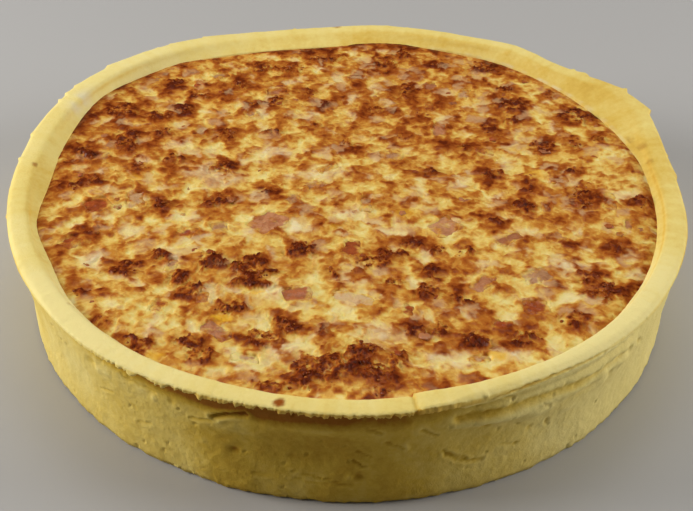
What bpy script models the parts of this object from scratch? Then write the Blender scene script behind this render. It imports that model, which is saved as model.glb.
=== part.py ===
"""A round ham quiche that stands free in its own shortcrust case.

The case is a deep cup of pastry with a flared, uneven rim. The custard fills it almost to the
crest, and pieces of ham are sunk in pockets of the custard's top. Sizes below are millimetres;
the meshes are in metres, +Z up, with the origin on the table under the middle of the base.
"""
import math
import random

import bmesh
import bpy
import numpy as np
from mathutils import Euler, Vector
from mathutils.geometry import delaunay_2d_cdt

MM = 0.001
GAP = 0.3

# The case
BASE_RADIUS = 120.0
BASE_CORNER = 2.4
WALL_FLARE = 2.2
RIM_RADIUS = 124.0
CREST_HEIGHT = 46.8
RIM_WIDTH = 7.0
LIP_DEPTH = 4.2
LIP_ROOT = 7.5
# The lip's outside as (step in from the rim's reach, drop below the crest), from its root upward
LIP_PROFILE = ((1.0, LIP_DEPTH), (0.0, 0.5 * LIP_DEPTH), (0.7, 0.7), (2.4, 0.0))
# The wall's bulge below the lip: its drop below the lip's root, and its height and flare half way up
BULGE_DROP = 5.0
WALL_WAIST = 0.4
WAIST_FLARE = 0.25
CORNER_SHARE = 0.3
INNER_DROP = 0.2
SLOPE_SAG = 0.4
FLOOR_THICKNESS = 5.5
FLOOR_CORNER = 4.0
INNER_FOOT_RADIUS = 112.5
# Below its edge the custard's side steps in a little: (step in, drop)
SIDE_STEP = (0.4, 5.0)
TURN_STEPS = 96

# The rim isn't round: (direction in degrees, push out, lift, reach in degrees)
RIM_BUMPS = (
    (2.0, -1.7, 0.0, 9.0),
    (27.5, 7.0, 0.9, 8.5),
    (56.0, 2.6, 0.8, 5.5),
    (103.0, -2.2, -1.2, 11.0),
    (144.0, 5.2, 0.9, 18.0),
    (197.0, 0.9, -0.4, 12.0),
    (236.0, 4.2, 0.0, 17.0),
    (275.0, 3.3, 0.0, 13.0),
    (297.0, -0.3, 0.0, 7.0),
    (318.0, 1.2, 0.0, 12.0),
)
# The rim's top is narrower or wider in places: (direction, change of width, reach)
WIDTH_BUMPS = ((262.0, -0.8, 8.0), (142.0, 1.0, 20.0), (299.0, -2.2, 13.0))

# The strip of dough ends in a seam, and beyond it the rim is thicker
SEAM_ANGLE = 279.6
SEAM_LIFT = 0.8
SEAM_REACH = 30.0
# Below the rim, beyond the seam, the dough folds over in a soft roll
FOLD_FROM = 288.0
FOLD_TO = 322.0
FOLD_PUSH = 1.5
FOLD_FADE = 5.0
ROOT_FOLD = 0.4

# The custard
FILLING_HEIGHT = 43.6
FILLING_RADIUS = 112.6
FILLING_BUMPS = ((6.0, -1.3, 10.0), (58.0, 1.3, 6.0), (100.0, -6.0, 15.0), (146.0, 5.4, 13.0),
                 (183.0, -1.7, 15.0), (194.0, 2.6, 6.0), (221.0, 1.5, 10.0), (255.0, 6.4, 28.0),
                 (313.0, 3.1, 21.0))
SURFACE_SPACING = 8.4
SURFACE_EDGE = 4.0
SWELL = 0.45
# The swell's waves: (waves along x, start, waves along y, start), then the slanting ones
SWELL_WAVES = (0.071, 0.9, 0.063, -0.4)
SLANT_WAVES = (0.6, 0.113)
MOUND_SPREAD = 0.42

# Browned mounds of the custard's top: (x, y, width, height)
MOUNDS = (
    (-8, -104, 17, 1.7), (4, -99, 13, 1.4), (-32, -56, 15, 1.6), (-16, -43, 11, 1.3),
    (86, -62, 15, 1.3), (84, -7, 13, 1.0), (65, 56, 15, 1.3), (91, 52, 14, 1.3),
    (57, 89, 12, 1.2), (14, 92, 12, 1.1), (-12, 95, 12, 1.2), (-30, 85, 14, 1.0),
    (-92, 48, 15, 1.1), (-87, 26, 15, 1.1), (-47, -14, 13, 1.0), (-47, 7, 11, 1.0),
    (-88, -69, 10, 0.8), (41, -90, 12, 1.1), (10, -48, 13, 1.0), (-70, 66, 12, 1.0),
)

# Ham pieces: (x, y, length, width, turn in degrees, look)
HAM_PIECES = (
    (-29, -27, 15.5, 12.5, 48, "pink"),
    (-46, -31, 8, 8, 15, "mauve"),
    (-57, -34, 9, 8, 70, "browned"),
    (-60, -53, 10, 5, 85, "mauve"),
    (-97, -41, 10, 8, 60, "browned"),
    (-42, -87, 14, 7, -42, "pink"),
    (-32, -99, 11, 5, -8, "mauve"),
    (-17, -68, 12.5, 9, 10, "browned"),
    (1, -41, 12, 8, 80, "browned"),
    (2, -69, 17, 6, -20, "pink"),
    (-48, -70, 8, 6, 85, "mauve"),
    (-62, -75, 8, 6, 70, "browned"),
    (-78, -15, 12, 8, 95, "mauve"),
    (-91, -18, 11.5, 11, 30, "browned"),
    (-13, -3, 8, 6, 20, "mauve"),
    (-21, -12, 8, 6, 60, "mauve"),
    (34, -28, 13, 12, 40, "pink"),
    (6, -14, 12, 6, 90, "mauve"),
    (95.5, -10, 13, 6, 88, "mauve"),
    (57, -35, 13, 6, 38, "pink"),
    (45, -60, 12, 6, 50, "pink"),
    (64, -56, 12, 9, 25, "mauve"),
    (62, -72, 11.5, 8.5, 5, "browned"),
    (72, -14, 8, 5, 90, "mauve"),
    (20, -75, 8, 5, 75, "browned"),
    (73, -33, 8, 8, 35, "browned"),
    (50, -81, 8, 5.5, -15, "browned"),
    (42, -98, 10, 5, 22, "mauve"),
    (100, -24.5, 8, 5, 80, "browned"),
    (-31, 65, 11.5, 7, 5, "pink"),
    (-59, 34, 9, 6, 80, "mauve"),
    (-96, 14, 9, 7, 15, "browned"),
    (-55, 78, 9, 6, 25, "mauve"),
    (-8, 9, 11, 5, 35, "mauve"),
    (-40, 47, 8, 6.5, 60, "mauve"),
    (35, 38, 12, 7, 88, "pink"),
    (32, 56, 9, 5, 86, "browned"),
    (52, 22, 8, 7, 10, "browned"),
    (79, 3, 9, 5, 12, "mauve"),
    (47, 67, 10, 5.5, 75, "mauve"),
    (33, 73, 8, 6, 30, "pink"),
    (16, 18, 12, 7.5, -15, "mauve"),
    (2, 79, 9, 5, 0, "mauve"),
)
HAM_THICKNESS = 3.4
HAM_PROUD = 0.9
HAM_TILT = 5.0
HAM_EDGE = 0.7
HAM_CORNER = 0.26
HAM_UNEVEN = 0.82
HAM_SEED = 100
# How far the pockets stand clear of the ham's outline
POCKET_CLEARANCE = 1.4 * GAP
# The custard's lowest ring rises by this share of the gap, so that it clears the case's round corner
CORNER_RISE = 0.4
SHARP_EDGE = 40.0

COLOURS = {
    "crust": ((0.80, 0.62, 0.22), 0.85),
    "custard": ((0.62, 0.34, 0.09), 0.42),
    "ham_pink": ((0.58, 0.27, 0.20), 0.38),
    "ham_mauve": ((0.46, 0.22, 0.17), 0.40),
    "ham_browned": ((0.28, 0.08, 0.03), 0.36),
}


def hill(angle, centre, reach):
    """1 in the direction centre, falling off smoothly over reach degrees."""
    away = (angle - centre + 180.0) % 360.0 - 180.0
    return np.exp(-0.5 * (away / reach) ** 2)


def past_seam(angle):
    """A step up at the seam that dies away over SEAM_REACH degrees beyond it."""
    beyond = (angle - SEAM_ANGLE) % 360.0
    return np.exp(-beyond / SEAM_REACH)


def fold_roll(angle):
    """1 along the fold below the rim, fading out over FOLD_FADE degrees at each end."""
    return np.clip(np.minimum(angle - FOLD_FROM, FOLD_TO - angle) / FOLD_FADE, 0.0, 1.0)


def rim_radius(angle):
    """How far the rim reaches out in each direction."""
    return RIM_RADIUS + sum(push * hill(angle, at, reach) for at, push, _, reach in RIM_BUMPS)


def crest_height(angle):
    """The height of the rim's top in each direction."""
    lift = sum(rise * hill(angle, at, reach) for at, _, rise, reach in RIM_BUMPS)
    return CREST_HEIGHT + lift + SEAM_LIFT * past_seam(angle)


def rim_width(angle):
    """The width of the rim's top in each direction."""
    change = sum(push * hill(angle, at, reach) for at, push, reach in WIDTH_BUMPS)
    return RIM_WIDTH + change + SEAM_LIFT * past_seam(angle)


def filling_radius(angle):
    """Where the custard meets the crust in each direction."""
    return FILLING_RADIUS + sum(push * hill(angle, at, reach) for at, push, reach in FILLING_BUMPS)


def turn_angles():
    return np.arange(TURN_STEPS) * 360.0 / TURN_STEPS


def case_rings():
    """The case's profile as rings of (radius, height): up the outside, over the rim, down inside."""
    angle = turn_angles()
    flat = np.zeros(TURN_STEPS)
    rim = rim_radius(angle)
    crest = crest_height(angle)
    inner = rim - rim_width(angle)
    filling = filling_radius(angle)
    fold = FOLD_PUSH * fold_roll(angle)
    wall_top = BASE_RADIUS + WALL_FLARE
    corner = CORNER_SHARE * BASE_CORNER
    lip = [(rim - step, crest - drop) for step, drop in LIP_PROFILE]
    return [
        (BASE_RADIUS - BASE_CORNER + flat, flat),
        (BASE_RADIUS - corner + flat, corner + flat),
        (BASE_RADIUS + flat, BASE_CORNER + flat),
        (BASE_RADIUS + WAIST_FLARE * WALL_FLARE + flat, WALL_WAIST * CREST_HEIGHT + flat),
        (wall_top + fold, crest - LIP_ROOT - BULGE_DROP),
        (wall_top + ROOT_FOLD * fold, crest - LIP_ROOT),
        *lip,
        (inner, crest - INNER_DROP),
        (0.5 * (inner + filling), 0.5 * (crest + FILLING_HEIGHT) - SLOPE_SAG),
        *joint_rings(filling, flat),
    ]


def joint_rings(filling, flat):
    """The case's inner wall, from the custard's edge down to the floor."""
    step, drop = SIDE_STEP
    return [
        (filling, FILLING_HEIGHT + flat),
        (filling - step, FILLING_HEIGHT - drop + flat),
        (INNER_FOOT_RADIUS + flat, FLOOR_THICKNESS + FLOOR_CORNER + flat),
        (INNER_FOOT_RADIUS - FLOOR_CORNER + flat, FLOOR_THICKNESS + flat),
    ]


def custard_rings():
    """The custard's side: the case's inner wall drawn in by the gap, from the floor to the top."""
    inside = joint_rings(filling_radius(turn_angles()), np.zeros(TURN_STEPS))
    rings = [(radius - GAP, height) for radius, height in reversed(inside)]
    rings[0] = (rings[0][0], rings[0][1] + GAP)
    rings[1] = (rings[1][0], rings[1][1] + CORNER_RISE * GAP)
    return rings


def ring_points(radius, height):
    turn = np.radians(turn_angles())
    return np.column_stack([radius * np.cos(turn), radius * np.sin(turn), height])


def surface_height(x, y):
    """The custard's top: a gentle swell with a mound for each browned patch."""
    wave_x, start_x, wave_y, start_y = SWELL_WAVES
    slant, slant_wave = SLANT_WAVES
    swell = np.sin(wave_x * x + start_x) * np.cos(wave_y * y + start_y)
    swell = swell + slant * np.sin(slant_wave * (x + y))
    height = FILLING_HEIGHT + SWELL * swell
    for mound_x, mound_y, width, rise in MOUNDS:
        away = np.hypot(x - mound_x, y - mound_y) / (MOUND_SPREAD * width)
        height = height + rise * np.exp(-0.5 * away ** 2)
    return height


def surface_points():
    """Points over the custard's top: rows of equal triangles, kept clear of its edge."""
    points = []
    row_step = SURFACE_SPACING * math.sqrt(3.0) / 2.0
    rows = int(RIM_RADIUS / row_step)
    for row in range(-rows, rows + 1):
        shift = 0.5 * SURFACE_SPACING * (row % 2)
        for column in range(-rows, rows + 1):
            x, y = column * SURFACE_SPACING + shift, row * row_step
            angle = math.degrees(math.atan2(y, x))
            if math.hypot(x, y) < filling_radius(angle) - SURFACE_EDGE:
                points.append((x, y))
    return points


def add_rings(bm, rings, lean=False):
    """Join rings of points with triangles, each ring to the next one; returns the rings' vertices.

    lean turns every triangle's slanting edge the other way, so that two walls that run in
    opposite orders fit face to face."""
    loops = [[bm.verts.new(point * MM) for point in ring_points(*ring)] for ring in rings]
    for lower, upper in zip(loops, loops[1:]):
        for i in range(TURN_STEPS):
            j = (i + 1) % TURN_STEPS
            far, near = (upper[i], lower[j]) if lean else (upper[j], lower[i])
            bm.faces.new((lower[i], lower[j], far))
            bm.faces.new((near, upper[j], upper[i]))
    return loops


def cap_ring(bm, loop, height, upward):
    """Close a ring with a fan of triangles round a middle point."""
    middle = bm.verts.new((0.0, 0.0, height * MM))
    for i in range(len(loop)):
        j = (i + 1) % len(loop)
        pair = (loop[i], loop[j]) if upward else (loop[j], loop[i])
        bm.faces.new((middle, *pair))


def cap_surface(bm, loop):
    """Close the custard's top ring with its uneven surface."""
    edge = [(vert.co.x / MM, vert.co.y / MM) for vert in loop]
    inside = surface_points()
    flat = [Vector(point) for point in edge + inside]
    border = [(i, (i + 1) % len(edge)) for i in range(len(edge))]
    _, _, faces, _, _, _ = delaunay_2d_cdt(flat, border, [], 1, 1e-4)
    top = [bm.verts.new((x * MM, y * MM, float(surface_height(x, y)) * MM)) for x, y in inside]
    verts = list(loop) + top
    for face in faces:
        bm.faces.new([verts[i] for i in face])


def material(name):
    colour, roughness = COLOURS[name]
    mat = bpy.data.materials.get(name)
    if mat is None:
        mat = bpy.data.materials.new(name)
        mat.use_nodes = True
        shader = mat.node_tree.nodes["Principled BSDF"]
        shader.inputs["Base Color"].default_value = (*colour, 1.0)
        shader.inputs["Roughness"].default_value = roughness
        shader.inputs["Metallic"].default_value = 0.0
    return mat


def make_object(name, bm, look):
    mesh = bpy.data.meshes.new(name)
    bm.to_mesh(mesh)
    bm.free()
    mesh.materials.append(material(look))
    mesh.shade_smooth()
    mesh.set_sharp_from_angle(angle=math.radians(SHARP_EDGE))
    piece = bpy.data.objects.new(name, mesh)
    bpy.context.scene.collection.objects.link(piece)
    return piece


def make_case():
    bm = bmesh.new()
    loops = add_rings(bm, case_rings())
    cap_ring(bm, loops[0], 0.0, upward=False)
    cap_ring(bm, loops[-1], FLOOR_THICKNESS, upward=True)
    return make_object("pastry_case", bm, "crust")


def make_custard():
    bm = bmesh.new()
    loops = add_rings(bm, custard_rings(), lean=True)
    cap_ring(bm, loops[0], FLOOR_THICKNESS + GAP, upward=False)
    cap_surface(bm, loops[-1])
    return make_object("custard", bm, "custard")


def ham_outline(length, width, rng):
    """An uneven four-sided piece with its corners cut off, as eight points round the middle."""
    corners = []
    for side_x, side_y in ((1, 1), (-1, 1), (-1, -1), (1, -1)):
        x = 0.5 * length * side_x * rng.uniform(HAM_UNEVEN, 1.0)
        y = 0.5 * width * side_y * rng.uniform(HAM_UNEVEN, 1.0)
        corners.append((x, y))
    points = []
    for i, (x, y) in enumerate(corners):
        for other in (corners[i - 1], corners[(i + 1) % 4]):
            points.append((x + HAM_CORNER * (other[0] - x), y + HAM_CORNER * (other[1] - y)))
    return points


def slab(bm, outline, levels, place):
    """A stack of scaled outlines at the given levels, closed above and below.

    Each level is (height, how far the outline is drawn in)."""
    loops = []
    for height, inset in levels:
        loop = []
        for x, y in outline:
            reach = math.hypot(x, y)
            scale = (reach - inset) / reach
            loop.append(bm.verts.new(place @ Vector((x * scale, y * scale, height)) * MM))
        loops.append(loop)
    count = len(outline)
    for lower, upper in zip(loops, loops[1:]):
        for i in range(count):
            j = (i + 1) % count
            bm.faces.new((lower[i], lower[j], upper[j], upper[i]))
    bm.faces.new(list(reversed(loops[0])))
    bm.faces.new(loops[-1])


def ham_place(x, y, turn, rng):
    """Where a piece lies: level with the custard's top, turned, and tipped a little."""
    tilt_x = math.radians(rng.uniform(-HAM_TILT, HAM_TILT))
    tilt_y = math.radians(rng.uniform(-HAM_TILT, HAM_TILT))
    place = Euler((tilt_x, tilt_y, math.radians(turn))).to_matrix().to_4x4()
    place.translation = Vector((x, y, float(surface_height(x, y)) + HAM_PROUD))
    return place


def make_ham(index, spec, pockets):
    """One ham piece, and in pockets the hollow that it lies in."""
    x, y, length, width, turn, look = spec
    rng = random.Random(HAM_SEED + index)
    outline = ham_outline(length, width, rng)
    place = ham_place(x, y, turn, rng)
    bm = bmesh.new()
    slab(bm, outline, ((-HAM_THICKNESS, HAM_EDGE), (-HAM_EDGE, 0.0), (0.0, HAM_EDGE)), place)
    foot, waist, out = -HAM_THICKNESS - GAP, -HAM_EDGE - GAP, -POCKET_CLEARANCE
    slab(pockets, outline, ((foot, HAM_EDGE + out), (waist, out), (HAM_THICKNESS, out)), place)
    return make_object(f"ham_{index + 1:02d}", bm, f"ham_{look}")


def cut_pockets(custard, pockets):
    """Cut the ham's hollows out of the custard."""
    cutter = make_object("pocket_cutter", pockets, "custard")
    cutter.hide_render = True
    cutter.display_type = "WIRE"
    cut = custard.modifiers.new("pockets", "BOOLEAN")
    cut.operation = "DIFFERENCE"
    cut.solver = "EXACT"
    cut.object = cutter


def main():
    for thing in list(bpy.data.objects):
        bpy.data.objects.remove(thing)
    make_case()
    custard = make_custard()
    pockets = bmesh.new()
    for index, spec in enumerate(HAM_PIECES):
        make_ham(index, spec, pockets)
    cut_pockets(custard, pockets)


main()
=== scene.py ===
"""Looks for the round ham quiche: crust, custard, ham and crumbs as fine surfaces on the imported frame."""
import math
import random

import bpy
import numpy as np
from mathutils import Euler, Matrix, Vector


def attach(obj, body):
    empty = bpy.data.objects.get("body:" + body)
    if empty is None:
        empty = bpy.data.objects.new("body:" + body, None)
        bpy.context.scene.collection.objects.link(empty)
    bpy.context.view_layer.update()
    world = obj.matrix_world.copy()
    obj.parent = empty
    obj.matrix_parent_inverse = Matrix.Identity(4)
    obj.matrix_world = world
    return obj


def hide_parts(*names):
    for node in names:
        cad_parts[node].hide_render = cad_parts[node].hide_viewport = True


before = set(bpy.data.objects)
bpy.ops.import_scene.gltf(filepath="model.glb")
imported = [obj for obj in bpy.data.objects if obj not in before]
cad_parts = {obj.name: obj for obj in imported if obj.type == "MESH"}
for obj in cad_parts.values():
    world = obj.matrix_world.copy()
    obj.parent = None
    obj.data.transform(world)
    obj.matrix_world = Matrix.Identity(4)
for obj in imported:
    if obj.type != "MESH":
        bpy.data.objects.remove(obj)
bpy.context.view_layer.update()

MM = 0.001

# Sizes shared with the frame, in millimetres
BASE_RADIUS = 120.0
BASE_CORNER = 2.4
WALL_FLARE = 2.2
RIM_RADIUS = 124.0
CREST_HEIGHT = 46.8
RIM_WIDTH = 7.0
LIP_DEPTH = 4.2
LIP_ROOT = 7.5
RIM_BUMPS = (
    (2.0, -1.7, 0.0, 9.0),
    (27.5, 7.0, 0.9, 8.5),
    (56.0, 2.6, 0.8, 5.5),
    (103.0, -2.2, -1.2, 11.0),
    (144.0, 5.2, 0.9, 18.0),
    (197.0, 0.9, -0.4, 12.0),
    (236.0, 4.2, 0.0, 17.0),
    (275.0, 3.3, 0.0, 13.0),
    (297.0, -0.3, 0.0, 7.0),
    (318.0, 1.2, 0.0, 12.0),
)
WIDTH_BUMPS = ((262.0, -0.8, 8.0), (142.0, 1.0, 20.0), (299.0, -2.2, 13.0))
SEAM_ANGLE = 279.6
SEAM_LIFT = 0.8
SEAM_REACH = 30.0
FOLD_FROM = 288.0
FOLD_TO = 322.0
FOLD_PUSH = 1.5
FILLING_HEIGHT = 43.6
FILLING_RADIUS = 112.6
FILLING_BUMPS = ((6.0, -1.3, 10.0), (58.0, 1.3, 6.0), (100.0, -6.0, 15.0), (146.0, 5.4, 13.0),
                 (183.0, -1.7, 15.0), (194.0, 2.6, 6.0), (221.0, 1.5, 10.0), (255.0, 6.4, 28.0),
                 (313.0, 3.1, 21.0))
SWELL = 0.45
HAM_PIECES = (
    (-29, -27, 15.5, 12.5, 48, "pink"),
    (-46, -31, 8, 8, 15, "mauve"),
    (-57, -34, 9, 8, 70, "browned"),
    (-60, -53, 10, 5, 85, "mauve"),
    (-97, -41, 10, 8, 60, "browned"),
    (-42, -87, 14, 7, -42, "pink"),
    (-32, -99, 11, 5, -8, "mauve"),
    (-17, -68, 12.5, 9, 10, "browned"),
    (1, -41, 12, 8, 80, "browned"),
    (2, -69, 17, 6, -20, "pink"),
    (-48, -70, 8, 6, 85, "mauve"),
    (-62, -75, 8, 6, 70, "browned"),
    (-78, -15, 12, 8, 95, "mauve"),
    (-91, -18, 11.5, 11, 30, "browned"),
    (-13, -3, 8, 6, 20, "mauve"),
    (-21, -12, 8, 6, 60, "mauve"),
    (34, -28, 13, 12, 40, "pink"),
    (6, -14, 12, 6, 90, "mauve"),
    (95.5, -10, 13, 6, 88, "mauve"),
    (57, -35, 13, 6, 38, "pink"),
    (45, -60, 12, 6, 50, "pink"),
    (64, -56, 12, 9, 25, "mauve"),
    (62, -72, 11.5, 8.5, 5, "browned"),
    (72, -14, 8, 5, 90, "mauve"),
    (20, -75, 8, 5, 75, "browned"),
    (73, -33, 8, 8, 35, "browned"),
    (50, -81, 8, 5.5, -15, "browned"),
    (42, -98, 10, 5, 22, "mauve"),
    (100, -24.5, 8, 5, 80, "browned"),
    (-31, 65, 11.5, 7, 5, "pink"),
    (-59, 34, 9, 6, 80, "mauve"),
    (-96, 14, 9, 7, 15, "browned"),
    (-55, 78, 9, 6, 25, "mauve"),
    (-8, 9, 11, 5, 35, "mauve"),
    (-40, 47, 8, 6.5, 60, "mauve"),
    (35, 38, 12, 7, 88, "pink"),
    (32, 56, 9, 5, 86, "browned"),
    (52, 22, 8, 7, 10, "browned"),
    (79, 3, 9, 5, 12, "mauve"),
    (47, 67, 10, 5.5, 75, "mauve"),
    (33, 73, 8, 6, 30, "pink"),
    (16, 18, 12, 7.5, -15, "mauve"),
    (2, 79, 9, 5, 0, "mauve"),
)
HAM_THICKNESS = 3.4
HAM_TILT = 5.0
HAM_CORNER = 0.12
HAM_SHOWS = 0.15

# Dark browned clusters: (x, y, length, width, depth of browning 0 to 1)
CLUSTERS = (
    (-33, -56, 13, 15, 1.0), (-16, -43, 10, 9, 0.95), (-68, -17, 6, 7, 0.8), (-65, -47, 5, 5, 0.95),
    (-8, -104, 18, 14, 1.0), (4, -98, 12, 11, 0.95), (10, -106, 11, 8, 0.85), (-24, -112, 9, 4, 0.95),
    (-14, -112, 9, 4, 0.8), (-50, -93, 7, 6, 0.85), (-46, -99, 7, 6, 0.9), (-39, -75, 10, 6, 0.95),
    (-52, -66, 8, 8, 0.85), (-47, -50, 10, 9, 0.85), (-19, -84, 9, 8, 0.7), (-75, -56, 9, 8, 0.75),
    (-28, -90, 12, 8, 0.85), (-31, -8, 6, 6, 0.8), (-47, -14, 12, 9, 0.6), (-88, -69, 6, 4, 1.0),
    (-66, -95, 8, 8, 0.75), (27, -65, 6, 8, 1.0), (38, -69, 7, 6, 0.85), (9, -49, 12, 6, 0.9),
    (15, -44, 10, 5, 0.9), (22, -37, 7, 5, 0.8), (64, -13, 9, 7, 0.8), (86, -7, 9, 14, 0.75),
    (82, -55, 8, 7, 0.9), (87, -64, 13, 9, 0.85), (57, -87, 8, 7, 0.75), (40, -90, 10, 8, 0.75),
    (22, -85, 7, 6, 0.75), (30, -85, 6, 5, 0.8), (52, -24, 6, 5, 0.7), (31, -42, 6, 5, 0.75),
    (40, -43, 5, 5, 0.7), (107, -9, 6, 8, 0.7), (16, -100, 9, 6, 0.8), (10, -114, 8, 4, 0.9),
    (28, -54, 7, 8, 0.8), (-39, 86, 7, 6, 0.8), (-27, 85, 13, 6, 0.7), (-74, 71, 6, 8, 0.85),
    (-46, 70, 8, 6, 0.7), (-12, 95, 12, 7, 0.7), (-92, 48, 13, 9, 0.9), (-77, 45, 10, 7, 0.8),
    (-68, 51, 7, 6, 0.7), (-87, 26, 9, 15, 0.85), (-73, 32, 7, 7, 0.7), (-49, 32, 9, 6, 0.7),
    (-32, 33, 7, 5, 0.65), (-67, 12, 9, 7, 0.8), (-47, 7, 9, 7, 0.85), (-103, 17, 7, 10, 0.75),
    (-30, 57, 6, 6, 0.75), (-3, 25, 8, 4, 0.65), (-96, -2, 6, 6, 0.8), (14, 92, 11, 7, 0.8),
    (22, 99, 5, 10, 0.6), (57, 90, 8, 9, 0.8), (63, 71, 7, 6, 0.75), (65, 57, 13, 10, 0.85),
    (65, 47, 8, 6, 0.8), (56, 39, 7, 10, 0.75), (91, 52, 13, 12, 0.8), (76, 28, 12, 6, 0.7),
    (87, 29, 7, 6, 0.7), (54, 7, 8, 6, 0.75), (22, 68, 6, 13, 0.6), (10, 53, 6, 6, 0.6),
    (82, 68, 5, 6, 0.7), (83, 11, 7, 6, 0.6), (-18, 66, 6, 5, 0.6), (-90, -33, 5, 6, 0.65),
    (-80, 8, 5, 8, 0.7), (-101, -6, 5, 6, 0.8), (-57, -60, 5, 5, 0.7), (-8, -86, 4, 4, 0.6),
    (3, -54, 4, 3, 0.8), (-5, -54, 4, 4, 0.85), (15, -60, 6, 5, 0.65), (44, 24, 5, 5, 0.6),
    (20, 32, 7, 4, 0.6), (-14, 40, 5, 4, 0.55), (30, 8, 6, 4, 0.55), (66, -2, 6, 5, 0.55),
    (-39.5, 55, 2.6, 4, 1.0), (-10, 56, 7, 5, 0.5), (38, 90, 8, 5, 0.55), (-62, 62, 7, 6, 0.6),
    (74, -78, 9, 6, 0.6), (94, -38, 6, 7, 0.6), (98, 33, 5, 5, 0.55), (-80, -84, 6, 6, 0.6),
)
# Nearly black burnt spots: (x, y, length, width, depth)
BURNT_SPOTS = ((-88, -69, 6.5, 4, 1.0), (-39.5, 55, 2.8, 4.2, 1.0), (27, -65, 4, 5, 0.9), (-33, -54, 6, 5, 0.9),
               (-16, -43, 5, 4, 0.9), (-64, -47, 4, 4, 0.9), (-8, -108, 6, 3, 0.9), (-47, -92, 5, 3, 0.9))
# Cream-white patches of custard: (x, y, length, width)
PALE_PATCHES = (
    (-47, 1, 13, 8), (12, -86, 12, 8), (32, -98, 12, 7), (1, -58, 10, 8), (79, 3, 9, 7), (-67, 24, 9, 8),
    (-25, -66, 8, 9), (-88, -50, 9, 7), (-20, -95, 12, 9), (-37, -58, 5, 7), (-60, -50, 6, 10),
    (-10, 6, 14, 8), (16, -30, 9, 6), (74, -50, 10, 8), (52, -96, 10, 6), (-18, -30, 12, 6),
    (-58, 6, 9, 8), (0, -20, 12, 6), (40, 2, 9, 6), (-30, 20, 12, 8), (60, 30, 8, 6), (0, 62, 9, 6),
)

# Areas that browned more (above 0) or less: (x, y, reach, change)
BROWNED_AREAS = (
    (28, 74, 17, 0.17), (52, 48, 17, 0.14), (20, 45, 18, 0.10), (-50, 76, 12, 0.13), (0, 76, 9, 0.18),
    (76, -26, 13, 0.20), (48, 2, 14, 0.05), (5, 12, 26, 0.07), (-30, -98, 20, -0.11), (4, -102, 12, -0.08),
    (-50, -50, 12, -0.10), (8, -52, 15, -0.08), (-75, -75, 10, -0.09), (34, -76, 15, 0.10), (-98, 32, 18, 0.08),
    (-50, 48, 12, 0.09), (-5, -22, 15, 0.07),
)
# The same for the filling's edge: (direction, change, reach)
BROWNED_EDGES = ((30.0, -0.10, 8.0), (80.0, 0.12, 15.0), (120.0, -0.19, 8.0), (178.0, -0.15, 10.0), (225.0, -0.18, 8.0),
                 (241.0, -0.07, 7.0), (285.0, 0.26, 7.0), (304.0, -0.22, 9.0), (345.0, 0.12, 9.0))
# Bright yellow spots of yolk: (x, y, length, width, strength)
YOLK_SPOTS = ((-30, -68, 4.5, 4, 0.8), (-41, -80, 5, 3.5, 0.7), (48, -97, 4.5, 3, 0.8), (-60, -100, 5, 4, 0.5),
              (20, -20, 5, 4, 0.4), (-5, -30, 5, 4, 0.4), (70, 8, 6, 4, 0.4), (-80, 0, 5, 4, 0.4))


def smooth_step(low, high, value):
    """0 below low and 1 above high, with a soft S-shaped rise between them."""
    t = np.clip((value - low) / (high - low), 0.0, 1.0)
    return t * t * (3.0 - 2.0 * t)


def ripple(x, y, seed, wrap=256):
    """Gradient noise, about -1 to 1: each lattice corner has a random slope, blended by S-curves.

    wrap is the number of lattice squares after which x repeats."""
    turn = np.random.default_rng(seed).uniform(0.0, 2.0 * np.pi, (256, 256))
    slope_x, slope_y = np.cos(turn), np.sin(turn)
    cell_x, cell_y = np.floor(x).astype(int), np.floor(y).astype(int)
    in_x, in_y = x - cell_x, y - cell_y
    blend_x = in_x ** 3 * (in_x * (in_x * 6.0 - 15.0) + 10.0)
    blend_y = in_y ** 3 * (in_y * (in_y * 6.0 - 15.0) + 10.0)

    def corner(i, j):
        a, b = ((cell_x + i) % wrap) & 255, (cell_y + j) & 255
        return slope_x[a, b] * (in_x - i) + slope_y[a, b] * (in_y - j)

    low = corner(0, 0) * (1.0 - blend_x) + corner(1, 0) * blend_x
    high = corner(0, 1) * (1.0 - blend_x) + corner(1, 1) * blend_x
    return 1.5 * (low * (1.0 - blend_y) + high * blend_y)


def clouds(x, y, size, octaves, seed, round_length=None):
    """Layered noise: each octave of ripple has half the size and half the strength of the last.

    round_length makes it repeat after that length along x, so that it closes round the quiche."""
    total, strength = 0.0, 1.0
    for octave in range(octaves):
        wrap = 256
        grain = size / 2 ** octave
        step_x = x / grain
        if round_length:
            wrap = max(1, round(round_length / grain))
            step_x = x / round_length * wrap
        total = total + strength * ripple(step_x, y / grain, seed + 17 * octave, wrap)
        strength *= 0.5
    return total


def cells(x, y, size, seed, wrap=256):
    """Scattered-point cells: distance to the nearest point, to the next one, and a number per cell."""
    rng = np.random.default_rng(seed)
    jitter = rng.uniform(0.1, 0.9, (256, 256, 2))
    tone = rng.uniform(0.0, 1.0, (256, 256))
    x, y = x / size, y / size
    cell_x, cell_y = np.floor(x).astype(int), np.floor(y).astype(int)
    nearest = np.full(x.shape, 9.0)
    second = np.full(x.shape, 9.0)
    number = np.zeros(x.shape)
    for i in (-1, 0, 1):
        for j in (-1, 0, 1):
            a, b = ((cell_x + i) % wrap) & 255, (cell_y + j) & 255
            away = np.hypot(cell_x + i + jitter[a, b, 0] - x, cell_y + j + jitter[a, b, 1] - y)
            closer = away < nearest
            second = np.where(closer, nearest, np.minimum(second, away))
            number = np.where(closer, tone[a, b], number)
            nearest = np.where(closer, away, nearest)
    return nearest, second, number


def hill(angle, centre, reach):
    """1 in the direction centre, falling off smoothly over reach degrees."""
    away = (angle - centre + 180.0) % 360.0 - 180.0
    return np.exp(-0.5 * (away / reach) ** 2)


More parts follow.
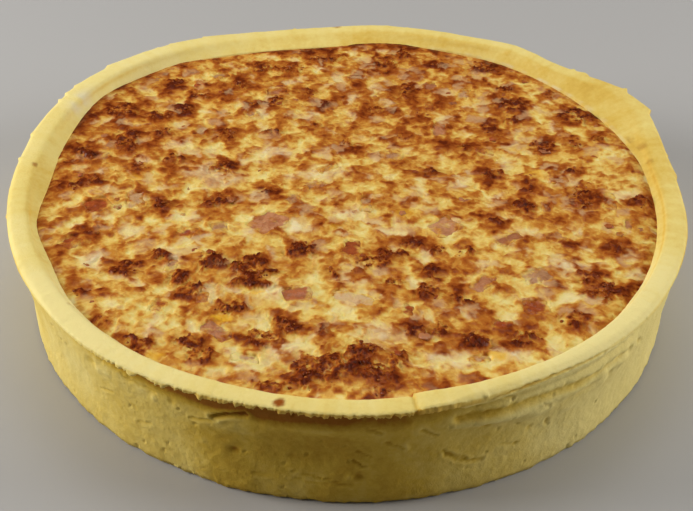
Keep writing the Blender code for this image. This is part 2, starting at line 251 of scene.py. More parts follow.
def past_seam(angle):
    """A step up at the seam that dies away beyond it."""
    return np.exp(-((angle - SEAM_ANGLE) % 360.0) / SEAM_REACH)


def fold_roll(angle):
    """1 along the fold below the rim, fading out at each end."""
    return np.clip(np.minimum(angle - FOLD_FROM, FOLD_TO - angle) / 5.0, 0.0, 1.0)


def rim_radius(angle):
    return RIM_RADIUS + sum(push * hill(angle, at, reach) for at, push, _, reach in RIM_BUMPS)


def crest_height(angle):
    lift = sum(rise * hill(angle, at, reach) for at, _, rise, reach in RIM_BUMPS)
    return CREST_HEIGHT + lift + SEAM_LIFT * past_seam(angle)


def rim_width(angle):
    change = sum(push * hill(angle, at, reach) for at, push, reach in WIDTH_BUMPS)
    return RIM_WIDTH + change + SEAM_LIFT * past_seam(angle)


def filling_radius(angle):
    return FILLING_RADIUS + sum(push * hill(angle, at, reach) for at, push, reach in FILLING_BUMPS)


def swell_height(x, y):
    """The slow rise and fall of the custard's top."""
    swell = np.sin(0.071 * x + 0.9) * np.cos(0.063 * y - 0.4) + 0.6 * np.sin(0.113 * (x + y))
    return FILLING_HEIGHT + SWELL * swell


# ---------------------------------------------------------------- meshes

def make_piece(name, points, faces, material, values=None):
    """A mesh object from arrays of points (mm) and faces, with one float attribute for each value."""
    mesh = bpy.data.meshes.new(name)
    faces = np.asarray(faces, dtype=np.int32)
    sides = faces.shape[1]
    mesh.vertices.add(len(points))
    mesh.vertices.foreach_set("co", (np.asarray(points) * MM).astype(np.float32).ravel())
    mesh.loops.add(faces.size)
    mesh.loops.foreach_set("vertex_index", faces.ravel())
    mesh.polygons.add(len(faces))
    mesh.polygons.foreach_set("loop_start", np.arange(0, faces.size, sides, dtype=np.int32))
    for key, value in (values or {}).items():
        layer = mesh.attributes.new(key, "FLOAT", "POINT")
        layer.data.foreach_set("value", np.asarray(value, dtype=np.float32).ravel())
    mesh.update(calc_edges=True)
    mesh.validate()
    mesh.shade_smooth()
    mesh.materials.append(material)
    piece = bpy.data.objects.new(name, mesh)
    bpy.context.scene.collection.objects.link(piece)
    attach(piece, "root")
    return piece


def split_quads(quads):
    """Each four-sided face as two triangles."""
    return np.concatenate([quads[:, [0, 1, 2]], quads[:, [0, 2, 3]]])


def shorter_split(points, quads):
    """Each four-sided face as two triangles, cut along the shorter of its two diagonals."""
    first = np.linalg.norm(points[quads[:, 0]] - points[quads[:, 2]], axis=1)
    second = np.linalg.norm(points[quads[:, 1]] - points[quads[:, 3]], axis=1)
    return split_quads(np.where((second < first)[:, None], np.roll(quads, -1, axis=1), quads))


def turned_faces(rings, around):
    """Triangles between rings of points, each ring closed, with a pole point at each end.

    Points are numbered ring by ring, and the two poles come last."""
    ring, step = np.meshgrid(np.arange(rings - 1), np.arange(around), indexing="ij")
    beside = (step + 1) % around
    quads = np.stack([ring * around + step, ring * around + beside,
                      (ring + 1) * around + beside, (ring + 1) * around + step], axis=-1)
    first, last = rings * around, rings * around + 1
    step = np.arange(around)
    beside = (step + 1) % around
    start = np.stack([np.full(around, first), beside, step], axis=-1)
    top = (rings - 1) * around
    end = np.stack([np.full(around, last), top + step, top + beside], axis=-1)
    return np.concatenate([split_quads(quads.reshape(-1, 4)), start, end])


# ---------------------------------------------------------------- materials

def new_material(name):
    mat = bpy.data.materials.new(name)
    mat.use_nodes = True
    mat.node_tree.nodes.clear()
    out = mat.node_tree.nodes.new("ShaderNodeOutputMaterial")
    shader = mat.node_tree.nodes.new("ShaderNodeBsdfPrincipled")
    mat.node_tree.links.new(shader.outputs["BSDF"], out.inputs["Surface"])
    return mat, mat.node_tree, shader


def add_node(tree, kind, sockets=None, **settings):
    """A node with its settings, and its sockets set to values or linked to other nodes' outputs."""
    node = tree.nodes.new(kind)
    for key, value in settings.items():
        setattr(node, key, value)
    for key, value in (sockets or {}).items():
        if isinstance(value, bpy.types.NodeSocket):
            tree.links.new(value, node.inputs[key])
        else:
            node.inputs[key].default_value = value
    return node


def attribute(tree, name):
    return add_node(tree, "ShaderNodeAttribute", attribute_name=name).outputs["Fac"]


def wandering(tree, grains_per_metre, push_mm):
    """The object's own coordinates, pushed about by noise so that patterns on them swirl."""
    where = add_node(tree, "ShaderNodeTexCoord").outputs["Object"]
    if not push_mm:
        return where
    drift = add_node(tree, "ShaderNodeTexNoise", {"Vector": where, "Scale": grains_per_metre, "Detail": 2.0})
    push = add_node(tree, "ShaderNodeVectorMath", {0: drift.outputs["Color"], 1: (0.5, 0.5, 0.5)},
                    operation="SUBTRACT").outputs["Vector"]
    push = add_node(tree, "ShaderNodeVectorMath", {0: push, "Scale": push_mm * MM},
                    operation="SCALE").outputs["Vector"]
    return add_node(tree, "ShaderNodeVectorMath", {0: where, 1: push}, operation="ADD").outputs["Vector"]


def noise(tree, grains_per_metre, detail=4.0, roughness=0.6, warp=0.0, where=None):
    """Noise in the object's own coordinates, 0 to 1."""
    where = where or wandering(tree, 0.0, 0.0)
    return add_node(tree, "ShaderNodeTexNoise", {"Vector": where, "Scale": grains_per_metre,
                    "Detail": detail, "Roughness": roughness, "Distortion": warp}).outputs["Fac"]


def pebbles(tree, grains_per_metre, where=None):
    """Rounded cells in the object's own coordinates: 0 in the middle of each, rising to its edge."""
    where = where or wandering(tree, 0.0, 0.0)
    return add_node(tree, "ShaderNodeTexVoronoi", {"Vector": where, "Scale": grains_per_metre,
                    "Smoothness": 0.6}, feature="SMOOTH_F1").outputs["Distance"]


def calc(tree, operation, first, second=0.0, third=0.0, clamp=False):
    return add_node(tree, "ShaderNodeMath", {0: first, 1: second, 2: third},
                    operation=operation, use_clamp=clamp).outputs["Value"]


def mix(tree, amount, first, second, blend="MIX"):
    """Mix two colours by amount."""
    node = add_node(tree, "ShaderNodeMix", data_type="RGBA", blend_type=blend)
    for key, value in ((0, amount), (6, first), (7, second)):
        if isinstance(value, bpy.types.NodeSocket):
            tree.links.new(value, node.inputs[key])
        else:
            node.inputs[key].default_value = value
    return node.outputs[2]


def ramp(tree, value, stops):
    """A colour ramp through (position, colour) stops."""
    node = add_node(tree, "ShaderNodeValToRGB", {"Fac": value})
    points = node.color_ramp.elements
    while len(points) < len(stops):
        points.new(0.5)
    for point, (position, colour) in zip(points, stops):
        point.position = position
        point.color = colour
    return node.outputs["Color"]


def bump(tree, height, depth_mm, strength=1.0, below=None):
    sockets = {"Height": height, "Distance": depth_mm * MM, "Strength": strength}
    if below is not None:
        sockets["Normal"] = below
    return add_node(tree, "ShaderNodeBump", sockets).outputs["Normal"]


def tone(red, green, blue):
    """A colour given as screen values 0 to 255, turned to linear light."""
    def linear(value):
        value /= 255.0
        return value / 12.92 if value <= 0.04045 else ((value + 0.055) / 1.055) ** 2.4
    return (linear(red), linear(green), linear(blue), 1.0)


# Custard and cheese from pale to nearly burnt
TOAST_TONES = (
    (0.00, (238, 216, 138)), (0.12, (232, 200, 108)), (0.26, (222, 174, 82)), (0.40, (203, 139, 54)),
    (0.54, (182, 107, 36)), (0.68, (157, 79, 24)), (0.82, (130, 55, 11)), (1.00, (98, 34, 6)),
)


def toasted(tree, amount):
    """The colour of custard browned by amount, 0 to 1."""
    return ramp(tree, amount, [(at, tone(*colour)) for at, colour in TOAST_TONES])


def varied(tree, base, pattern, amount):
    """base plus amount times how far pattern lies above one half."""
    return calc(tree, "MULTIPLY_ADD", calc(tree, "SUBTRACT", pattern, 0.5), amount, base)


def custard_material():
    """Set custard and cheese: yellow to nearly black brown by the attribute toast, with pale patches."""
    mat, tree, shader = new_material("custard_skin")
    swirl = wandering(tree, 260.0, 5.0)
    blotch = noise(tree, 170.0, 2.0, 0.45, where=swirl)
    mottle = noise(tree, 420.0, 2.0, 0.45, where=swirl)
    fine = noise(tree, 1300.0, 3.0, 0.6)
    lumps = pebbles(tree, 480.0, swirl)
    browned = varied(tree, attribute(tree, "toast"), blotch, 0.55)
    browned = varied(tree, browned, mottle, 0.42)
    nubs = calc(tree, "MULTIPLY", attribute(tree, "crag"), -0.95)
    browned = calc(tree, "MULTIPLY_ADD", calc(tree, "SUBTRACT", lumps, 0.36), nubs, browned)
    browned = varied(tree, browned, fine, 0.04)
    colour = toasted(tree, browned)
    ridge = calc(tree, "ABSOLUTE", calc(tree, "SUBTRACT", noise(tree, 130.0, 3.0, 0.55, where=swirl), 0.5))
    strand = calc(tree, "MULTIPLY_ADD", ridge, -14.0, 0.7, clamp=True)
    strand = calc(tree, "MULTIPLY", strand, calc(tree, "MULTIPLY_ADD", browned, -3.0, 1.5, clamp=True))
    colour = mix(tree, calc(tree, "MULTIPLY", strand, 0.55), colour, tone(238, 206, 122))
    pale = calc(tree, "MULTIPLY", attribute(tree, "pale"), calc(tree, "ADD", mottle, 0.4), clamp=True)
    colour = mix(tree, pale, colour, tone(238, 222, 178))
    film = calc(tree, "MULTIPLY", attribute(tree, "film"), calc(tree, "ADD", mottle, 0.35), clamp=True)
    colour = mix(tree, film, colour, tone(212, 174, 126))
    yolk = calc(tree, "MULTIPLY", attribute(tree, "yolk"), calc(tree, "ADD", mottle, 0.3), clamp=True)
    colour = mix(tree, yolk, colour, tone(242, 188, 48))
    tree.links.new(colour, shader.inputs["Base Color"])
    tree.links.new(calc(tree, "MULTIPLY_ADD", mottle, 0.36, 0.36), shader.inputs["Roughness"])
    shader.inputs["Specular IOR Level"].default_value = 0.05
    shader.inputs["Subsurface Weight"].default_value = 0.15
    shader.inputs["Subsurface Scale"].default_value = 1.0
    shader.inputs["Subsurface Radius"].default_value = (0.0016, 0.0008, 0.0003)
    shader.inputs["Coat Weight"].default_value = 0.10
    shader.inputs["Coat Roughness"].default_value = 0.07
    rough = bump(tree, calc(tree, "MULTIPLY", lumps, attribute(tree, "crag")), -1.4, 1.0)
    rough = bump(tree, mottle, 0.6, 0.6, rough)
    tree.links.new(bump(tree, fine, 0.12, 0.5, rough), shader.inputs["Normal"])
    return mat


def crust_material():
    """Baked shortcrust: cream on the rim, mustard down the wall, and deeper gold in the hollows, which is painted
    shade.
    """
    mat, tree, shader = new_material("shortcrust")
    fine = noise(tree, 1700.0, 3.0, 0.7)
    grain = noise(tree, 520.0, 5.0, 0.65)
    patch = noise(tree, 60.0, 4.0, 0.6)
    gold = varied(tree, varied(tree, attribute(tree, "gold"), patch, 0.5), grain, 0.3)
    rim = ramp(tree, gold, (
        (0.00, tone(244, 226, 152)), (0.35, tone(238, 214, 126)), (0.60, tone(226, 190, 90)),
        (0.85, tone(206, 158, 56)), (1.00, tone(180, 124, 34))))
    wall = ramp(tree, gold, (
        (0.00, tone(232, 212, 134)), (0.35, tone(222, 194, 100)), (0.60, tone(206, 170, 62)),
        (0.85, tone(176, 134, 32)), (1.00, tone(154, 96, 20))))
    colour = mix(tree, attribute(tree, "wall"), rim, wall)
    colour = mix(tree, attribute(tree, "bloom"), colour, tone(226, 216, 190))
    colour = mix(tree, attribute(tree, "spot"), colour, tone(148, 76, 10))
    tree.links.new(colour, shader.inputs["Base Color"])
    tree.links.new(calc(tree, "MULTIPLY_ADD", grain, 0.2, 0.66), shader.inputs["Roughness"])
    shader.inputs["Subsurface Weight"].default_value = 0.05
    shader.inputs["Subsurface Scale"].default_value = 1.0
    shader.inputs["Subsurface Radius"].default_value = (0.0016, 0.0011, 0.0004)
    shader.inputs["Specular IOR Level"].default_value = 0.15
    coarse = bump(tree, grain, 0.45, 0.65)
    tree.links.new(bump(tree, fine, 0.18, 0.6, coarse), shader.inputs["Normal"])
    return mat


def ham_material(name, meat, deep):
    """Moist cooked ham mottled with a deeper tone, with browned custard creeping over its edge."""
    mat, tree, shader = new_material(name)
    fibre = noise(tree, 420.0, 4.0, 0.6, where=wandering(tree, 300.0, 3.0))
    fine = noise(tree, 1600.0, 3.0, 0.6)
    colour = mix(tree, calc(tree, "MULTIPLY_ADD", fibre, 2.6, -0.9, clamp=True), meat, deep)
    colour = mix(tree, calc(tree, "MULTIPLY", attribute(tree, "pallor"), 1.0, clamp=True), colour, tone(224, 192, 140))
    colour = mix(tree, calc(tree, "MULTIPLY", attribute(tree, "pallor"), -1.0, clamp=True), colour, tone(138, 72, 38))
    browned = varied(tree, varied(tree, attribute(tree, "toast"), fibre, 0.5), fine, 0.3)
    creep = noise(tree, 190.0, 3.0, 0.6, where=wandering(tree, 260.0, 4.0))
    cover = varied(tree, varied(tree, attribute(tree, "edge"), fibre, 1.8), creep, 3.2)
    cover = calc(tree, "MULTIPLY", cover, 0.95, clamp=True)
    colour = mix(tree, cover, colour, toasted(tree, browned))
    tree.links.new(colour, shader.inputs["Base Color"])
    tree.links.new(calc(tree, "MULTIPLY_ADD", fibre, 0.35, 0.26), shader.inputs["Roughness"])
    shader.inputs["Subsurface Weight"].default_value = 0.2
    shader.inputs["Subsurface Scale"].default_value = 1.0
    shader.inputs["Subsurface Radius"].default_value = (0.002, 0.0008, 0.0005)
    shader.inputs["Specular IOR Level"].default_value = 0.10
    shader.inputs["Coat Weight"].default_value = 0.28
    shader.inputs["Coat Roughness"].default_value = 0.10
    lumps = bump(tree, fibre, 0.7, 0.8)
    tree.links.new(bump(tree, fine, 0.15, 0.7, lumps), shader.inputs["Normal"])
    return mat


def crumb_material():
    """Browned nuggets of cheese and ham, each with its own tone from the attribute toast."""
    mat, tree, shader = new_material("browned_nuggets")
    fine = noise(tree, 1100.0, 4.0, 0.65)
    colour = toasted(tree, varied(tree, attribute(tree, "toast"), fine, 0.5))
    tree.links.new(colour, shader.inputs["Base Color"])
    tree.links.new(calc(tree, "MULTIPLY_ADD", fine, 0.35, 0.12), shader.inputs["Roughness"])
    shader.inputs["Specular IOR Level"].default_value = 0.10
    shader.inputs["Coat Weight"].default_value = 0.22
    shader.inputs["Coat Roughness"].default_value = 0.09
    tree.links.new(bump(tree, fine, 0.35, 0.8), shader.inputs["Normal"])
    return mat


# ---------------------------------------------------------------- crust

AROUND = 912
# Fine steps between one control ring of the crust's profile and the next, from the foot to the joint
WALL_STEPS = (1, 2, 3, 19, 22, 8, 4, 3, 3, 3, 3, 3, 4, 7, 6, 6)
# Between these directions the lip is cut with a knife, and its lower edge is sharp and crumbly
CUT_FROM = 214.0
CUT_TO = 287.0

# Creases in the wall: (half width, depth, (direction, height) of each point)
CREASES = (
    (0.70, 1.0, ((250.5, 33.0), (252.5, 34.8), (255.5, 36.8))),
    (0.45, 0.25, ((246.5, 28.8), (249.0, 30.2), (251.0, 31.6))),
    (0.40, 0.25, ((262.0, 13.2), (266.0, 11.6), (270.0, 9.2))),
    (0.40, 0.15, ((256.0, 10.0), (264.0, 9.6), (271.0, 8.6))),
    (0.50, 0.3, ((273.0, 35.0), (275.0, 32.4))),
    (0.50, 0.3, ((276.0, 28.0), (277.5, 27.0), (278.6, 24.8))),
    (0.50, 0.3, ((281.0, 32.5), (283.2, 29.8))),
    (0.40, 0.25, ((271.8, 23.5), (273.8, 21.0))),
    (0.50, 0.35, ((271.3, 19.3), (273.0, 17.0))),
    (0.50, 0.35, ((284.5, 21.0), (286.0, 18.6), (288.5, 16.0))),
    (0.55, 0.4, ((285.0, 19.5), (287.0, 16.0), (289.0, 14.0), (291.2, 13.5))),
    (0.40, 0.5, ((286.0, 42.0), (288.0, 43.2), (291.0, 44.5), (296.0, 45.1), (300.0, 45.2), (306.0, 44.8),
                 (311.0, 44.5), (314.0, 43.4), (317.0, 41.0), (320.0, 40.4), (324.0, 40.2), (330.0, 38.6),
                 (336.0, 37.0))),
    (1.20, 0.7, ((286.5, 35.8), (292.0, 36.0), (297.0, 36.3), (302.0, 36.1), (306.0, 34.9), (311.0, 34.5),
                 (316.0, 34.4), (319.0, 33.4))),
    (0.45, 0.25, ((300.0, 33.5), (301.6, 30.2))),
    (0.45, 0.25, ((293.0, 42.8), (294.6, 40.0))),
    (0.40, 0.25, ((302.0, 22.0), (302.8, 18.5))),
    (0.40, 0.2, ((294.0, 18.0), (297.0, 15.6))),
    (0.50, 0.25, ((322.0, 33.0), (324.5, 28.5))),
    (0.60, 0.25, ((234.5, 34.8), (237.5, 34.0), (240.5, 34.6))),
    (0.45, 0.2, ((228.0, 20.0), (231.0, 22.5))),
    (0.45, 0.2, ((236.0, 15.0), (238.5, 17.0))),
)
# Lumps and pits of the wall: (direction, height, length, tallness, rise)
WALL_LUMPS = (
    (253.3, 18.8, 1.3, 1.0, -0.68), (248.2, 19.2, 0.8, 0.7, 0.25), (262.0, 19.5, 0.8, 0.7, -0.37),
    (272.1, 12.9, 1.1, 1.0, -0.62), (270.8, 13.0, 0.8, 0.9, 0.37), (290.8, 30.5, 0.9, 1.1, -0.68),
    (227.0, 31.6, 1.7, 1.6, -0.56), (228.6, 30.2, 1.3, 1.0, 0.43), (230.6, 30.6, 1.4, 0.9, 0.37),
    (235.3, 33.2, 1.4, 0.7, -0.37), (240.0, 33.6, 1.6, 0.7, -0.43), (240.3, 31.2, 0.9, 1.2, 0.43),
    (243.5, 33.0, 0.8, 0.9, -0.43), (235.6, 21.3, 0.9, 0.7, -0.31), (312.0, 32.5, 1.5, 1.5, 0.56),
    (313.0, 27.0, 1.6, 1.2, 0.43), (306.0, 23.5, 1.9, 1.0, 0.37), (314.5, 30.0, 0.8, 1.3, -0.56),
    (316.0, 34.5, 1.4, 1.0, -0.62), (323.0, 30.5, 0.8, 1.6, -0.37), (302.3, 20.7, 0.6, 1.2, -0.37),
    (299.0, 21.5, 0.7, 0.8, -0.43), (297.0, 16.0, 0.8, 0.6, -0.37), (306.0, 34.8, 1.1, 0.8, -0.43),
    (278.9, 26.0, 0.6, 1.2, 0.37), (266.0, 24.5, 15.0, 6.0, -1.5), (252.0, 29.5, 7.0, 2.0, 0.7),
    (265.0, 34.0, 9.0, 1.8, 0.8), (258.0, 36.5, 8.0, 1.6, -0.5), (289.5, 33.0, 6.0, 1.4, 1.1),
    (295.5, 32.0, 5.0, 1.5, 1.0), (299.5, 29.0, 3.4, 1.5, 0.8), (293.0, 26.0, 9.0, 5.0, -0.6),
    (308.0, 30.0, 5.0, 1.6, -0.5), (318.0, 31.5, 2.0, 2.4, 0.6), (302.0, 41.8, 16.0, 1.4, 0.5),
)


def crust_angles():
    """Directions round the crust, closer together at the front, where the lip is cut and creased."""
    even = np.linspace(0.0, 360.0, 3601)
    density = 1.0 + 1.4 * smooth_step(205.0, 215.0, even) * smooth_step(345.0, 335.0, even)
    share = np.concatenate([[0.0], np.cumsum(0.5 * (density[1:] + density[:-1]))])
    return np.interp(np.arange(AROUND) / AROUND, share / share[-1], even)


def cut_lip(angle):
    """1 where the lip is cut, 0 where it is a soft roll."""
    return smooth_step(CUT_FROM, CUT_FROM + 9.0, angle) * smooth_step(CUT_TO, CUT_TO - 2.5, angle)


def crust_controls(angle):
    """Control rings (radius, height) of the crust, from the foot up the wall and over the rim.

    Each ring of the lip is a blend of a soft roll and a lip cut square with an undercut below it."""
    flat = np.zeros(angle.shape)
    rim, crest = rim_radius(angle), crest_height(angle)
    inner, filling = rim - rim_width(angle), filling_radius(angle)
    fold = FOLD_PUSH * fold_roll(angle)
    wall_top = BASE_RADIUS + WALL_FLARE
    cut = cut_lip(angle)

    deeper = 0.9 * past_seam(angle)

    def lip(rolled_r, rolled_z, cut_r, cut_z):
        cut_z = cut_z - deeper * (cut_z < -1.4)
        return rolled_r + cut * (cut_r - rolled_r), crest + rolled_z + cut * (cut_z - rolled_z)

    root = wall_top + 0.4 * fold
    return [
        (BASE_RADIUS - BASE_CORNER - 3.0 + flat, flat),
        (BASE_RADIUS - BASE_CORNER + flat, flat),
        (BASE_RADIUS - 0.3 * BASE_CORNER + flat, 0.3 * BASE_CORNER + flat),
        (BASE_RADIUS + flat, BASE_CORNER + flat),
        (BASE_RADIUS + 0.25 * WALL_FLARE + flat, 0.4 * CREST_HEIGHT + flat),
        (wall_top + fold, crest - LIP_ROOT - 5.0),
        lip(root, -LIP_ROOT, wall_top - 0.2, -6.4),
        lip(root + 0.4 * (rim - 1.0 - root), -5.8, wall_top + 0.2, -4.0),
        lip(rim - 1.0, -LIP_DEPTH, rim - 1.9, -2.6),
        lip(rim - 0.35, -3.1, rim - 0.5, -2.0),
        lip(rim, -0.5 * LIP_DEPTH, rim - 0.05, -1.45),
        lip(rim - 0.15, -1.3, rim, -0.9),
        lip(rim - 0.7, -0.7, rim - 0.25, -0.35),
        lip(rim - 2.4, 0.0, rim - 1.6, -0.05),
        (inner, crest - 0.2),
        (0.5 * (inner + filling), 0.5 * (crest + FILLING_HEIGHT) - 0.4),
        (filling, FILLING_HEIGHT - 0.4 + flat),
    ]


def through(controls, steps):
    """A smooth curve through control rings: a Catmull-Rom piece between each two, cut in steps."""
    knots = np.array(controls)
    knots = np.concatenate([2.0 * knots[:1] - knots[1:2], knots, 2.0 * knots[-1:] - knots[-2:-1]])
    parts = []
    for i, count in enumerate(steps):
        a, b, c, d = knots[i:i + 4]
        t = (np.arange(count) / count)[:, None, None]
        parts.append(0.5 * (2.0 * b + (c - a) * t + (2.0 * a - 5.0 * b + 4.0 * c - d) * t ** 2
                            + (3.0 * b - a - 3.0 * c + d) * t ** 3))
    parts.append(knots[-2][None])
    return np.concatenate(parts)


def outward(radius, height):
    """Unit directions that point out of a profile, from the slope between neighbouring rings."""
    along_r, along_z = np.gradient(radius, axis=0), np.gradient(height, axis=0)
    length = np.hypot(along_r, along_z) + 1e-9
    return along_z / length, -along_r / length


ARC = math.radians(1.0) * (BASE_RADIUS + WALL_FLARE)


def line_distance(turn, height, points):
    """Distance in millimetres over the unrolled wall to a chain of (direction, height) points."""
    nearest = np.full(turn.shape, 99.0)
    for (turn_a, up_a), (turn_b, up_b) in zip(points, points[1:]):
        step_x, step_y = (turn_b - turn_a) * ARC, up_b - up_a
        x, y = (turn - turn_a) * ARC, height - up_a
        share = np.clip((x * step_x + y * step_y) / (step_x ** 2 + step_y ** 2), 0.0, 1.0)
        nearest = np.minimum(nearest, np.hypot(x - share * step_x, y - share * step_y))
    return nearest


def wall_relief(turn, height, shake):
    """Creases as narrow grooves along their chains, and lumps and pits as rounded hills.

    Given twice: all of them, and only the narrow ones; the wall's tone takes painted shade in the hollows and painted
    highlight on the rises from both, more strongly from the narrow ones."""
    relief, broad = np.zeros(turn.shape), np.zeros(turn.shape)
    for half_width, depth, points in CREASES:
        away = line_distance(turn + 0.25 * shake, height + 0.5 * shake, points)
        relief -= 1.35 * depth * np.exp(-0.5 * (away / half_width) ** 2)
        relief += 0.5 * depth * np.exp(-0.5 * ((away - 2.2 * half_width) / half_width) ** 2)
    for at, up, length, tall, rise in WALL_LUMPS:
        across = (turn - at) * ARC / length
        lump = rise * np.exp(-0.5 * (across ** 2 + ((height - up) / tall) ** 2))
        relief += lump
        broad += lump * (length > 4.0)
    return relief, relief - broad


def make_crust(material):
    """The pastry case: a profile carried round the rim's uneven outline, then roughened along its normals."""
    angle = crust_angles()
    profile = through(crust_controls(angle), WALL_STEPS)
    radius, height = profile[:, 0], profile[:, 1]
    out_r, out_z = outward(radius, height)
    turn = np.broadcast_to(angle, radius.shape)
    length_round = 360.0 * ARC
    along = turn * ARC
    flat = 0.0 * height
    crest = crest_height(turn)
    cut = cut_lip(turn)
    below = crest - height
    outside = smooth_step(-0.1, 0.2, out_r)
    wall = outside * smooth_step(3.6 - 1.0 * cut, 6.0 - 2.4 * cut, below)
    top = smooth_step(0.2, 0.8, out_z)

    grain = clouds(along, height, 3.2, 4, 11, length_round)
    waves = clouds(along, height * 0.6, 24.0, 3, 12, length_round)
    relief = wall * (0.11 * grain + 0.42 * waves) + (1.0 - wall) * (0.06 * grain + 0.22 * waves)
    near, _, number = cells(along, height, 4.2, 13)
    relief -= 0.6 * (number > 0.93) * smooth_step(0.2, 0.05, near) * wall
    wander = clouds(along, flat, 30.0, 2, 14, length_round)
    band_top = 9.8 + 0.9 * wander
    relief += 0.22 * smooth_step(band_top + 0.5, band_top - 0.5, height) * wall
    worked, narrow = wall_relief(turn, height, grain)
    relief += outside * worked
    edge = np.exp(-0.5 * ((below - 1.4) / 0.8) ** 2) * cut * smooth_step(0.1, 0.5, out_r)
    teeth = ripple(along / 0.8, 0.3 * height, 16) + 0.7 * ripple(along / 1.9, 0.3 * height, 17)
    crumbly = 0.2 + 0.8 * smooth_step(226.0, 240.0, turn)
    relief += edge * crumbly * (0.68 * teeth - 0.1)
    torn, _, pick = cells(along, 0.4 * height, 2.6, 20)
    brim = np.exp(-0.5 * ((below - 1.1) / 0.7) ** 2) * (1.0 - cut) * outside
    ragged = 0.82 - 0.12 * hill(turn, 33.0, 15.0)
    relief += 0.8 * brim * (pick > ragged) * smooth_step(0.34, 0.05, torn)
    for at, push, reach in TORN_CORNERS:
        past = ((turn - at + 180.0) % 360.0 - 180.0) / reach
        relief += push * brim * smooth_step(-0.2, 0.0, past) * np.exp(-np.maximum(past, 0.0))
    away = (turn - SEAM_ANGLE + 180.0) % 360.0 - 180.0
    seam = np.exp(-0.5 * ((away + 0.1) / 0.22) ** 2) * smooth_step(4.5, 3.0, below) * outside
    seam = np.maximum(seam, np.exp(-0.5 * ((away + 0.1) / 0.22) ** 2) * top)
    relief -= 0.35 * seam
    relief -= 0.8 * np.exp(-0.5 * (away / 0.7) ** 2) * (away > 0.0) * smooth_step(1.2, 0.2, below)
    foot = smooth_step(2.6, 0.4, height) * outside
    relief += foot * (0.5 * clouds(along, flat, 5.0, 3, 18, length_round) - 0.1)
    radius = radius + out_r * relief
    height = np.maximum(height + out_z * relief - 0.4 * edge * crumbly * teeth, 0.0)

    gold = 0.42 + 0.13 * waves + 0.06 * grain
    gold = gold + 0.25 * (1.0 - top) * (1.0 - wall) * (below < 3.0) - 0.12 * top
    # Painted light and shade on the rim and its inner slope: deeper where less light falls, paler where more falls
    gold = gold + (1.0 - wall) * sum(deeper * hill(turn, at, reach) for at, deeper, reach in RIM_PAINTED_SHADING)
    inner_side = smooth_step(0.05, -0.35, out_r)
    warm = 0.14 * hill(turn, 45.0, 40.0) + 0.14 * hill(turn, 90.0, 30.0)
    gold = gold + inner_side * warm
    # Painted shade on the front of the wall, which faces away from the lamps, and painted light on the left and right
    # sides, which they light
    gold = gold + wall * (0.24 * hill(turn, 268.0, 26.0) - 0.22 * hill(turn, 190.0, 34.0) - 0.34 * hill(turn, 345.0, 34.0))
    # Painted shade under the overhanging lip, deepest at the front left and the front, together with some deeper baking
    # there
    lip_shade_and_bake = hill(turn, 236.0, 14.0) + 0.7 * hill(turn, 266.0, 14.0)
    under_lip = smooth_step(14.0, 7.0, below) * smooth_step(1.7, 3.0, below) * outside
    gold = gold + lip_shade_and_bake * under_lip * (0.25 + 0.4 * wall)
    gold = gold + 0.25 * seam + 0.22 * inner_side * hill(turn, 196.0, 26.0)
    # Painted shade in the wall's creases and hollows, and painted highlight on its ridges and lumps
    gold = gold - 0.45 * outside * np.clip(narrow, -0.6, 0.35)
    gold = gold - 0.16 * outside * np.clip(worked - narrow, -1.0, 0.8)
    # Varied with the grain, and paler on the front-right and front-left wall as painted light where the side lamps
    # reach
    gold = gold - wall * (0.09 * grain + 0.34 * hill(turn, 316.0, 18.0) + 0.08 * hill(turn, 236.0, 12.0))
    beyond = radius - filling_radius(turn)
    bloom = 0.8 * hill(turn, 155.7, 2.6) * np.exp(-0.5 * ((beyond - 3.8) / 2.2) ** 2) * (out_r < 0.3)
    bloom = bloom * smooth_step(-0.7, 0.2, clouds(along, height, 9.0, 3, 19, length_round))
    joint = np.exp(-0.5 * ((beyond - 0.4) / 0.4) ** 2) * inner_side
    patchy = smooth_step(-0.35, 0.45, clouds(along, flat, 7.0, 3, 22, length_round))
    bloom = np.maximum(bloom, 0.55 * patchy * joint * hill(turn, 38.0, 22.0))
    spot = np.zeros(radius.shape)
    x, y = radius * np.cos(np.radians(turn)), radius * np.sin(np.radians(turn))
    for spot_x, spot_y, size, depth in SPOTS:
        ragged = np.hypot(x - spot_x, y - spot_y) / size + 0.35 * ripple(x / 1.3, y / 1.3, 21)
        spot = np.maximum(spot, depth * smooth_step(1.3, 0.5, ragged) * (below < 3.2))

    under_r = np.array([20.0, 45.0, 70.0, 90.0, 105.0])[:, None] + 0.0 * radius[:1]
    inside_r = np.array([0.0, 0.0, -4.0, -20.0, -50.0, -80.0])[:, None] + filling_radius(angle)[None] - 0.6
    inside_z = np.array([38.0, 9.0, 5.5, 5.5, 5.5, 5.5])[:, None] + 0.0 * angle[None]
    all_r = np.concatenate([under_r, radius, inside_r])
    all_z = np.concatenate([0.0 * under_r, height, inside_z])
    direction = np.radians(angle)[None]
    points = np.stack([all_r * np.cos(direction), all_r * np.sin(direction), all_z], axis=-1)
    points = np.concatenate([points.reshape(-1, 3), [(0.0, 0.0, 0.0), (0.0, 0.0, 5.5)]])

    def padded(value, beyond):
        full = np.concatenate([np.full(under_r.shape, beyond), value, np.full(inside_r.shape, beyond)])
        return np.concatenate([full.ravel(), [beyond, beyond]])

    values = {"gold": padded(gold, 0.5), "bloom": padded(bloom, 0.0), "spot": padded(spot, 0.0),
              "wall": padded(wall, 1.0)}
    piece = make_piece("shortcrust_case", points, turned_faces(len(all_r), AROUND), material, values)
    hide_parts("pastry_case")
    return piece


